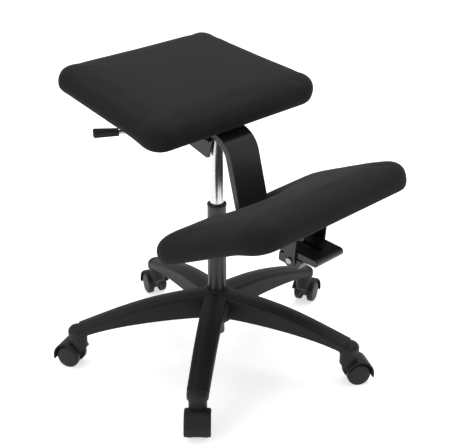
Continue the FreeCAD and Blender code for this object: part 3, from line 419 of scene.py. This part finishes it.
@dataclass
class Profile:
    """Half of a cushion's side: how far the surface is drawn in at each height."""

    points: Sequence[tuple[float, float]]
    curve: np.ndarray = field(init=False)
    length: np.ndarray = field(init=False)
    reach: float = field(init=False)
    wall: float = field(init=False)

    def __post_init__(self) -> None:
        """Measure the curve once."""
        self.curve = smooth_table(self.points)
        steps = np.hypot(*np.diff(self.curve, axis=0).T)
        self.length = np.concatenate([[0], np.cumsum(steps)])
        self.reach = float(self.curve[-1, 0])
        self.wall = float(self.length[-1]) - self.reach

    def place(self, travel: np.ndarray) -> tuple[np.ndarray, np.ndarray]:
        """Inset and height after travelling along the surface from the widest line.

        Args:
            travel: Distances along the surface.

        Returns:
            Insets and heights.
        """
        inset = np.interp(travel, self.length, self.curve[:, 0])
        height = np.interp(travel, self.length, self.curve[:, 1])
        beyond = travel > self.length[-1]
        inset = np.where(beyond, travel - self.wall, inset)
        return inset, height


@dataclass
class Cushion:
    """An upholstered pad, shaped along its outline and then filled out as cloth."""

    name: str
    node: str
    body: str
    finish: Finish
    place: Matrix
    front: float
    rear: float
    depth: float
    corner: float
    upper: Profile
    lower: Profile
    crown: float = 2.0 * MM
    voxel: float = 4.0 * MM
    notch: Optional[tuple[float, float, float]] = None
    board: tuple[float, float, float, float] = (0.0, 0.0, 0.0, 0.0)
    board_level: float = -0.0222
    board_top: float = -12.6 * MM
    tuck: float = 26.0 * MM
    lip: Callable[[np.ndarray], np.ndarray] = lambda y: np.zeros_like(y)
    relief: Optional[Callable[[np.ndarray], np.ndarray]] = None
    swell: float = 3.0 * MM
    fill: float = 0.7
    frames: int = 16
    piece: Optional[bpy.types.Object] = field(default=None, init=False)

    def outline(self) -> np.ndarray:
        """Plan outline, anticlockwise seen from above.

        Returns:
            Points about 3 mm apart.
        """
        half = self.depth / 2
        corners = [
            (self.front / 2, -half), (self.rear / 2, half),
            (-self.rear / 2, half), (-self.front / 2, -half),
        ]
        radii = [self.corner] * 4
        if self.notch:
            width, deep, radius = self.notch
            inner = half - deep
            corners[2:2] = [(width, half), (width, inner), (-width, inner), (-width, half)]
            radii[2:2] = [10.0 * MM, radius, radius, 10.0 * MM]
        points: list[np.ndarray] = []
        count = len(corners)
        for i, corner in enumerate(corners):
            here = np.array(corner)
            before = np.array(corners[i - 1]) - here
            after = np.array(corners[(i + 1) % count]) - here
            before = before / np.linalg.norm(before)
            after = after / np.linalg.norm(after)
            angle = math.acos(float(np.clip(before @ after, -1, 1)))
            back = radii[i] / math.tan(angle / 2)
            middle = (before + after) / np.linalg.norm(before + after)
            centre = here + middle * radii[i] / math.sin(angle / 2)
            start = here + before * back - centre
            end = here + after * back - centre
            turn = math.atan2(start[0] * end[1] - start[1] * end[0], float(start @ end))
            for k in range(13):
                a = turn * k / 12
                c, s = math.cos(a), math.sin(a)
                turned = np.array([c * start[0] - s * start[1], s * start[0] + c * start[1]])
                points.append(centre + turned)
        loop = np.array(points)
        ends = np.roll(loop, -1, axis=0)
        steps = np.concatenate([[0], np.cumsum(np.hypot(*(ends - loop).T))])
        closed = np.vstack([loop, loop[:1]])
        even = np.arange(0, steps[-1], 3.0 * MM)
        return np.column_stack([np.interp(even, steps, closed[:, k]) for k in (0, 1)])

    def block(self, outline: np.ndarray) -> bpy.types.Object:
        """Straight-sided block on the outline, remeshed to an even grid.

        Args:
            outline: Plan outline.

        Returns:
            The block, tall enough that its surface wraps onto the profiles without stretching.
        """
        mesh = bpy.data.meshes.new(self.name)
        bm = bmesh.new()
        low = [bm.verts.new((x, y, -self.lower.wall)) for x, y in outline]
        high = [bm.verts.new((x, y, self.upper.wall)) for x, y in outline]
        bm.faces.new(list(reversed(low)))
        bm.faces.new(high)
        for i in range(len(outline)):
            j = (i + 1) % len(outline)
            bm.faces.new((low[i], low[j], high[j], high[i]))
        bmesh.ops.recalc_face_normals(bm, faces=bm.faces)
        bm.to_mesh(mesh)
        bm.free()
        piece = bpy.data.objects.new(self.name, mesh)
        bpy.context.scene.collection.objects.link(piece)
        remesh = piece.modifiers.new("Grid", "REMESH")
        remesh.mode = "VOXEL"
        remesh.voxel_size = self.voxel
        settle(piece)
        return piece

    def shape(self, piece: bpy.types.Object, outline: np.ndarray) -> np.ndarray:
        """Wrap the block's surface onto the two profiles.

        Args:
            piece: The remeshed block.
            outline: Plan outline.

        Returns:
            One for points that the cloth holds fast, zero for free points.
        """
        co = read_points(piece)
        foot, inward, away = nearest(outline, co[:, :2])
        upper = co[:, 2] >= 0
        travel = np.abs(co[:, 2]) + np.maximum(away, 0)
        inset_up, height_up = self.upper.place(travel)
        inset_low, height_low = self.lower.place(travel)
        inset = np.where(upper, inset_up, inset_low)
        height = np.where(upper, height_up, -height_low)
        deep = np.clip((away - self.upper.reach) / (0.5 * self.depth - self.upper.reach), 0, 1)
        height = height + np.where(upper, self.crown * deep * (2 - deep), 0.0)
        flat = foot + inward * inset[:, None]
        blend = np.clip((away - 0.75 * self.upper.reach) / (0.25 * self.upper.reach), 0, 1)[:, None]
        flat = flat * (1 - blend) + co[:, :2] * blend
        share = np.clip(-height / max(self.lower.curve[-1, 1], 1e-6), 0, 1)
        height = np.where(upper, height, height + share**2 * self.lip(flat[:, 1]))
        x0, y0, x1, y1 = self.board
        inside = (flat[:, 0] > x0) & (flat[:, 0] < x1) & (flat[:, 1] > y0) & (flat[:, 1] < y1) & ~upper
        tucked = (~upper) & (away > self.tuck)
        height = np.where(tucked, np.maximum(height, self.board_level), height)
        height = np.where(inside, self.board_top, height)
        if self.relief is not None:
            height = np.where(upper, height, np.maximum(height, self.relief(flat)))
        write_points(piece, np.column_stack([flat, height]))
        held = (~upper) & (travel > 0.8 * self.lower.wall)
        return held.astype(float)

    def inflate(self, piece: bpy.types.Object, held: np.ndarray) -> None:
        """Let the cover fill out under pressure, held at its underside.

        Args:
            piece: The shaped cushion.
            held: One for points that stay.
        """
        group = piece.vertex_groups.new(name="Hem")
        for index in np.nonzero(held)[0]:
            group.add([int(index)], 1.0, "REPLACE")
        before = read_points(piece)
        cloth = piece.modifiers.new("Cover", "CLOTH")
        settings = cloth.settings
        settings.quality = 5
        settings.mass = 0.3
        settings.tension_stiffness = 18
        settings.compression_stiffness = 18
        settings.shear_stiffness = 8
        settings.bending_stiffness = 6
        settings.use_pressure = True
        settings.uniform_pressure_force = 4.0
        settings.vertex_group_mass = "Hem"
        settings.effector_weights.gravity = 0.0
        cloth.point_cache.frame_start = 1
        cloth.point_cache.frame_end = self.frames
        scene = bpy.context.scene
        for number in range(1, self.frames + 1):
            scene.frame_set(number)
        evaluated = piece.evaluated_get(bpy.context.evaluated_depsgraph_get())
        after = np.zeros(len(evaluated.data.vertices) * 3)
        evaluated.data.vertices.foreach_get("co", after)
        after = after.reshape(-1, 3)
        piece.modifiers.remove(cloth)
        scene.frame_set(1)
        move = after - before
        length = np.linalg.norm(move, axis=1)
        limit = self.swell * np.tanh(length / self.swell)
        move = move * (limit / np.maximum(length, 1e-9))[:, None]
        write_points(piece, before + move)

    def make(self) -> bpy.types.Object:
        """Build, dress and place the cushion.

        Returns:
            The finished piece.
        """
        outline = self.outline()
        piece = self.block(outline)
        held = self.shape(piece, outline)
        soften(piece, 0.5, 6)
        self.inflate(piece, held)
        soften(piece, 0.4, 3)
        piece.vertex_groups.clear()
        finer = piece.modifiers.new("Finer", "SUBSURF")
        finer.levels = 1
        finer.render_levels = 1
        settle(piece)
        piece.data.transform(self.place)
        piece.data.polygons.foreach_set("use_smooth", [True] * len(piece.data.polygons))
        piece.data.materials.clear()
        piece.data.materials.append(self.finish.build())
        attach(piece, self.body)
        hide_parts(self.node)
        self.piece = piece
        return piece


def read_points(piece: bpy.types.Object) -> np.ndarray:
    """Vertex places of a piece."""
    co = np.zeros(len(piece.data.vertices) * 3)
    piece.data.vertices.foreach_get("co", co)
    return co.reshape(-1, 3)


def write_points(piece: bpy.types.Object, co: np.ndarray) -> None:
    """Set the vertex places of a piece."""
    piece.data.vertices.foreach_set("co", np.ascontiguousarray(co, np.float32).ravel())
    piece.data.update()


def settle(piece: bpy.types.Object) -> None:
    """Turn a piece's modifiers into plain mesh."""
    graph = bpy.context.evaluated_depsgraph_get()
    mesh = bpy.data.meshes.new_from_object(piece.evaluated_get(graph))
    old = piece.data
    piece.modifiers.clear()
    piece.data = mesh
    mesh.name = piece.name
    bpy.data.meshes.remove(old)


def soften(piece: bpy.types.Object, share: float, rounds: int) -> None:
    """Even out small steps of a remeshed surface.

    Args:
        piece: The mesh to smooth.
        share: How far each point moves toward its neighbours' middle.
        rounds: How many times.
    """
    co = read_points(piece)
    edges = np.zeros(len(piece.data.edges) * 2, int)
    piece.data.edges.foreach_get("vertices", edges)
    a, b = edges.reshape(-1, 2).T
    count = np.bincount(np.concatenate([a, b]), minlength=len(co))[:, None]
    for _ in range(rounds):
        total = np.zeros_like(co)
        np.add.at(total, a, co[b])
        np.add.at(total, b, co[a])
        co = co + share * (total / np.maximum(count, 1) - co)
    write_points(piece, co)


def nearest(outline: np.ndarray, points: np.ndarray) -> tuple[np.ndarray, np.ndarray, np.ndarray]:
    """Nearest place on a closed outline.

    Args:
        outline: Closed loop of places, anticlockwise.
        points: Places to look from.

    Returns:
        The nearest places, the inward directions there and the signed distances inward.
    """
    start = outline
    span = np.roll(outline, -1, axis=0) - start
    size = (span**2).sum(1)
    foot = np.zeros_like(points)
    inward = np.zeros_like(points)
    away = np.zeros(len(points))
    for at in range(0, len(points), 4000):
        p = points[at : at + 4000, None, :]
        t = np.clip(((p - start) * span).sum(2) / size, 0, 1)
        spot = start + span * t[:, :, None]
        gap = np.hypot(*(p - spot).transpose(2, 0, 1))
        best = gap.argmin(1)
        row = np.arange(len(best))
        normal = np.column_stack([-span[best, 1], span[best, 0]])
        normal /= np.linalg.norm(normal, axis=1)[:, None]
        offset = p[:, 0, :] - spot[row, best]
        side = np.sign((offset * normal).sum(1))
        distance = gap[row, best]
        far = distance > 0.8 * MM
        toward = offset / np.maximum(distance, 1e-9)[:, None] * side[:, None]
        direction = np.where(far[:, None], toward, normal)
        foot[at : at + 4000] = spot[row, best]
        inward[at : at + 4000] = direction
        away[at : at + 4000] = distance * side
    return foot, inward, away


def tilted(y: float, z: float, degrees: float) -> Matrix:
    """Place of a pad that is turned about the chair's X axis."""
    return Matrix.Translation(Vector((0.0, y, z))) @ Matrix.Rotation(math.radians(degrees), 4, "X")


@dataclass
class Seat:
    """The square seat, tilted forward."""

    tilt: float = 10.0
    middle: tuple[float, float] = (0.083, 0.570)

    def cushion(self) -> Cushion:
        """Sizes of the seat cushion.

        Returns:
            The cushion, ready to make.
        """

        def lip(y: np.ndarray) -> np.ndarray:
            """Extra depth of the front and rear edges below the middle."""
            front = np.clip((-0.075 - y) / 0.075, 0, 1)
            rear = np.clip((y - 0.11) / 0.04, 0, 1)
            return -(8.0 * MM) * front**2 * (3 - 2 * front) - (2.0 * MM) * rear**2 * (3 - 2 * rear)

        return Cushion(
            name="seat_pad",
            node="seat_cushion",
            body="upper",
            finish=WovenCloth("Upper cushion cloth", tilt=math.radians(self.tilt)),
            place=tilted(*self.middle, self.tilt),
            front=0.464,
            rear=0.414,
            depth=0.323,
            corner=0.040,
            upper=Profile([
                (0, 0), (0.003, 0.011), (0.0095, 0.019), (0.022, 0.025), (0.046, 0.0285), (0.080, 0.0305),
            ]),
            lower=Profile([
                (0, 0), (0.001, 0.010), (0.004, 0.018), (0.010, 0.0225), (0.020, 0.0232), (0.040, 0.0222),
            ]),
            board=(-0.1685, -0.1185, 0.1685, 0.1135),
            lip=lip,
        )


@dataclass
class KneePad:
    """The knee pad, tilted back, with the notch that the bar passes."""

    tilt: float = -23.4
    middle: tuple[float, float] = (-0.182, 0.382)
    relief_half: float = 53.0 * MM
    clearance: float = 14.0 * MM

    def cushion(self) -> Cushion:
        """Sizes of the knee cushion.

        Returns:
            The cushion, ready to make.
        """

        def lip(y: np.ndarray) -> np.ndarray:
            """Extra depth of the front and rear edges below the middle."""
            front = np.clip((-0.060 - y) / 0.070, 0, 1)
            rear = np.clip((y - 0.095) / 0.035, 0, 1)
            return -(10.0 * MM) * front**2 * (3 - 2 * front) - (2.0 * MM) * rear**2 * (3 - 2 * rear)

        def relief(flat: np.ndarray) -> np.ndarray:
            """Lowest allowed surface over the bent bar."""
            y = flat[:, 1]
            along = [0.030, 0.045, 0.053, 0.062, 0.071, 0.078]
            bar = np.interp(y, along, [-0.040, -0.030, -0.0255, -0.0175, -0.008, 0.006])
            over = np.abs(flat[:, 0]) < self.relief_half
            return np.where(over & (y > along[0]), bar + self.clearance, -1.0)

        return Cushion(
            name="knee_pad_cushion",
            node="knee_cushion",
            body="knee_pad",
            finish=WovenCloth("Lower cushion cloth", tilt=math.radians(self.tilt)),
            place=tilted(*self.middle, self.tilt),
            front=0.448,
            rear=0.499,
            depth=0.282,
            corner=0.052,
            upper=Profile([
                (0, 0), (0.004, 0.010), (0.0115, 0.0185), (0.025, 0.0245), (0.050, 0.028), (0.075, 0.0295),
            ]),
            lower=Profile([
                (0, 0), (0.0015, 0.012), (0.005, 0.021), (0.011, 0.0255), (0.021, 0.026), (0.040, 0.0242),
            ]),
            notch=(0.050, 0.077, 0.012),
            board=(-0.1685, -0.0985, 0.1685, 0.0415),
            board_level=-0.0242,
            lip=lip,
            relief=relief,
        )


@dataclass
class Wardrobe:
    """Finishes of the carried-over rigid pieces, by material slot."""

    finishes: dict[str, Finish] = field(
        default_factory=lambda: {
            "nylon": MouldedPlastic("Base nylon"),
            "wheel_nylon": MouldedPlastic(
                "Wheel nylon", color=(0.009, 0.009, 0.0094), smooth=0.42, rough=0.55
            ),
            "ring_plastic": MouldedPlastic("Ring plastic", smooth=0.5, rough=0.6),
            "black_steel": PowderCoat("Black powder coat"),
            "zinc_steel": BareMetal(
                "Zinc plate",
                color=(0.42, 0.42, 0.41),
                darker=(0.3, 0.3, 0.3),
                smooth=0.3,
                rough=0.45,
                streak=(300.0, 300.0, 300.0),
                relief=0.01 * MM,
            ),
            "chrome": BareMetal("Chrome", (0.68, 0.68, 0.69), (0.6, 0.6, 0.61), 0.2, 0.28),
            "piston_steel": BareMetal("Ground steel", (0.5, 0.5, 0.5), (0.4, 0.4, 0.4), 0.2, 0.3),
            "grip_plastic": MouldedPlastic(
                "Grip plastic", color=(0.007, 0.007, 0.0074), smooth=0.45, rough=0.55
            ),
            "plywood": StainedPly("Stained board"),
        }
    )

    def dress(self) -> int:
        """Give each rigid piece its finish.

        Returns:
            How many pieces were dressed.
        """
        made: dict[str, bpy.types.Material] = {}
        count = 0
        for row in frame["record"]["subparts"]:
            slot = row["material_slot"]
            if slot not in self.finishes:
                continue
            if slot not in made:
                made[slot] = self.finishes[slot].build()
            node = frame["nodes"][row["node"]]
            node.data.materials.clear()
            node.data.materials.append(made[slot])
            count += 1
        return count


@dataclass
class Studio:
    """Floor, light and camera."""

    azimuth: float = -46.6
    elevation: float = 24.343
    distance: float = 2.1143
    across: float = 0.0153
    height: float = 0.2942
    lens: float = 84.08
    ambient: float = 0.55

    def back(self) -> Vector:
        """Direction from the chair to the camera."""
        a, e = math.radians(self.azimuth), math.radians(self.elevation)
        return Vector((math.sin(a) * math.cos(e), -math.cos(a) * math.cos(e), math.sin(e)))

    def camera(self) -> bpy.types.Object:
        """Place the camera at the photograph's viewpoint.

        Returns:
            The camera.
        """
        data = bpy.data.cameras.new("Camera")
        data.lens = self.lens
        data.sensor_width = 36.0
        data.clip_end = 100.0
        camera = bpy.data.objects.new("Camera", data)
        bpy.context.scene.collection.objects.link(camera)
        a = math.radians(self.azimuth)
        right = Vector((math.cos(a), math.sin(a), 0.0))
        aim = right * self.across + Vector((0.0, 0.0, self.height))
        camera.location = aim + self.back() * self.distance
        camera.rotation_euler = (-self.back()).to_track_quat("-Z", "Y").to_euler()
        bpy.context.scene.camera = camera
        return camera

    def floor(self) -> bpy.types.Object:
        """Lay the floor.

        Returns:
            The floor.
        """
        mesh = bpy.data.meshes.new("floor")
        bm = bmesh.new()
        bmesh.ops.create_grid(bm, x_segments=8, y_segments=8, size=14.0)
        bm.to_mesh(mesh)
        bm.free()
        piece = bpy.data.objects.new("floor", mesh)
        bpy.context.scene.collection.objects.link(piece)
        mesh.materials.append(StudioFloor("Studio floor").build())
        return piece

    def world(self) -> None:
        """White surroundings for the eye and for transmission rays, an even grey glow for the rest,
        reflections included.
        """
        world = bpy.data.worlds.new("Studio")
        bpy.context.scene.world = world
        world.use_nodes = True
        tree = world.node_tree
        background = tree.nodes["Background"]
        background.inputs["Color"].default_value = (1.0, 1.0, 1.0, 1.0)
        path = tree.nodes.new("ShaderNodeLightPath")
        seen = tree.nodes.new("ShaderNodeMath")
        seen.operation = "MAXIMUM"
        tree.links.new(path.outputs["Is Camera Ray"], seen.inputs[0])
        tree.links.new(path.outputs["Is Transmission Ray"], seen.inputs[1])
        level = tree.nodes.new("ShaderNodeMapRange")
        level.inputs["To Min"].default_value = self.ambient
        level.inputs["To Max"].default_value = 1.0
        tree.links.new(seen.outputs[0], level.inputs["Value"])
        tree.links.new(level.outputs["Result"], background.inputs["Strength"])

    def lamp(self, name: str, place: Point, aim: Point, size: float, power: float) -> bpy.types.Object:
        """Hang one soft box.

        Args:
            name: Name of the lamp.
            place: Where it hangs.
            aim: What it points at.
            size: Width of the box.
            power: Watts.

        Returns:
            The lamp.
        """
        data = bpy.data.lights.new(name, "AREA")
        data.shape = "SQUARE"
        data.size = size
        data.energy = power
        lamp = bpy.data.objects.new(name, data)
        bpy.context.scene.collection.objects.link(lamp)
        lamp.location = place
        lamp.rotation_euler = (Vector(aim) - Vector(place)).to_track_quat("-Z", "Y").to_euler()
        return lamp

    def build(self) -> None:
        """Set up the whole studio."""
        bpy.context.scene.view_settings.view_transform = "Standard"
        self.camera()
        self.floor()
        self.world()
        self.lamp("Overhead", (0.7, 0.1, 2.9), (0.0, 0.0, 0.3), 2.6, 62.0)
        self.lamp("Left box", (-2.8, 0.2, 1.6), (0.0, 0.0, 0.4), 1.8, 22.0)


def note(label: str, piece: bpy.types.Object) -> None:
    """Report one finished piece."""
    low, high = (Vector(piece.bound_box[0]), Vector(piece.bound_box[6]))
    size = [round(v / MM) for v in high - low]
    log.info("%s: %d faces, %s mm", label, len(piece.data.polygons), size)


def main() -> None:
    """Build the chair's looks and its studio in order."""
    logging.basicConfig(level=logging.INFO, format="%(message)s")
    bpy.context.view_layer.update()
    Studio().build()
    log.info("%d rigid pieces dressed", Wardrobe().dress())
    for part in (Seat(), KneePad()):
        cushion = part.cushion()
        note(cushion.name, cushion.make())


if __name__ == "__main__":
    main()
